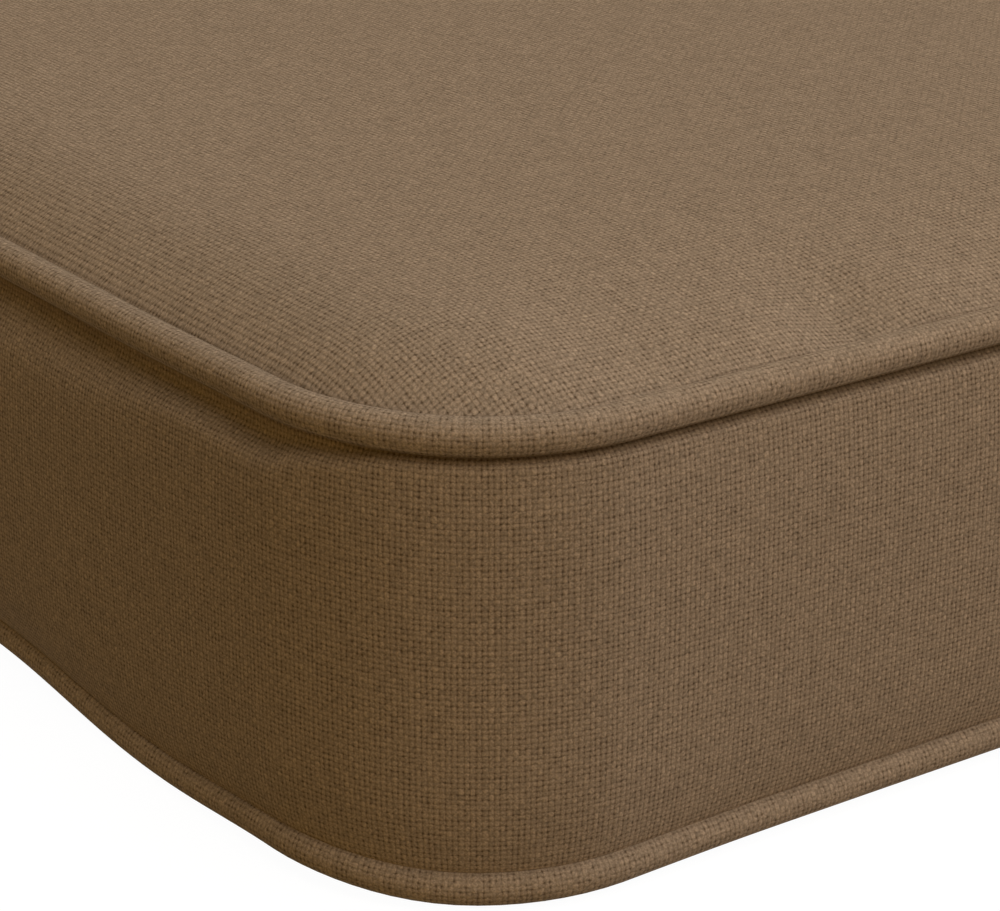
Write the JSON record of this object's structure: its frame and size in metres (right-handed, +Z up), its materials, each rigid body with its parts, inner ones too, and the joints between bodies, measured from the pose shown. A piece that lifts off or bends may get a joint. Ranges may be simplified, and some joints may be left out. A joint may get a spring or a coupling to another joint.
{
  "type": "bench cushion",
  "caption": "Box-edge bench cushion with rounded corners, softly crowned top and piped seams, in plain-weave cloth.",
  "frame": {"origin": "under the middle of the cushion, on the surface that its bottom panel lies on", "axes": "+X along the cushion's length, +Y from its front to its back, +Z up through its thickness"},
  "size_m": [1.2192, 0.4572, 0.0878],
  "materials": {
    "cover_cloth": "matt brown plain weave",
    "piping_cloth": "matt brown plain weave over a cord"
  },
  "bodies": {
    "root": {"cushion_body": "cover_cloth", "piping_top": "piping_cloth", "piping_bottom": "piping_cloth"}
  },
  "joints": []
}
